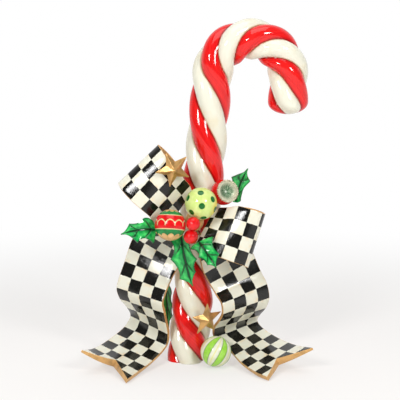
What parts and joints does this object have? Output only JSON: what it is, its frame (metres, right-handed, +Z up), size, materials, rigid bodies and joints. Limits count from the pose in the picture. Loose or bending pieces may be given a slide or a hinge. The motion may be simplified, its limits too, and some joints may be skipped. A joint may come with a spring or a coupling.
{
  "type": "candy cane figurine",
  "caption": "Decorative candy cane figurine: a twisted red and cream cane with a black and cream checked bow, holly leaves, berries, painted balls and gold stars, on its own base.",
  "frame": {"origin": "bottom centre of the bounding box, on the floor the figurine stands on", "axes": "+Z up along the cane, -Y towards the bow and ornaments (the front), +X towards the open side of the hook"},
  "size_m": [0.2502, 0.1192, 0.3792],
  "materials": {
    "cane": "glossy painted resin, red and cream strands",
    "ribbon": "glossy painted resin, black and cream checks with gold edges",
    "gold": "gold painted resin",
    "holly": "glossy green painted resin with dark veins",
    "red": "glossy red painted resin",
    "lime": "glossy lime painted resin",
    "silver": "silver painted resin"
  },
  "bodies": {
    "root": {"candy_cane": "cane", "bow_knot": "gold", "bow_tail_left": "ribbon", "bow_tail_right": "ribbon", "bow_loop_left": "ribbon", "bow_loop_right": "ribbon", "dotted_ball": "lime", "banded_ball": "red", "swirl_ball": "lime", "berry_1": "red", "berry_2": "red", "reflector_ball": "red", "reflector_dish": "silver", "star_upper": "gold", "star_lower": "gold", "holly_leaf_left": "holly", "holly_leaf_middle": "holly", "holly_leaf_right": "holly", "holly_leaf_back": "holly", "holly_leaf_rear": "holly"}
  },
  "joints": []
}
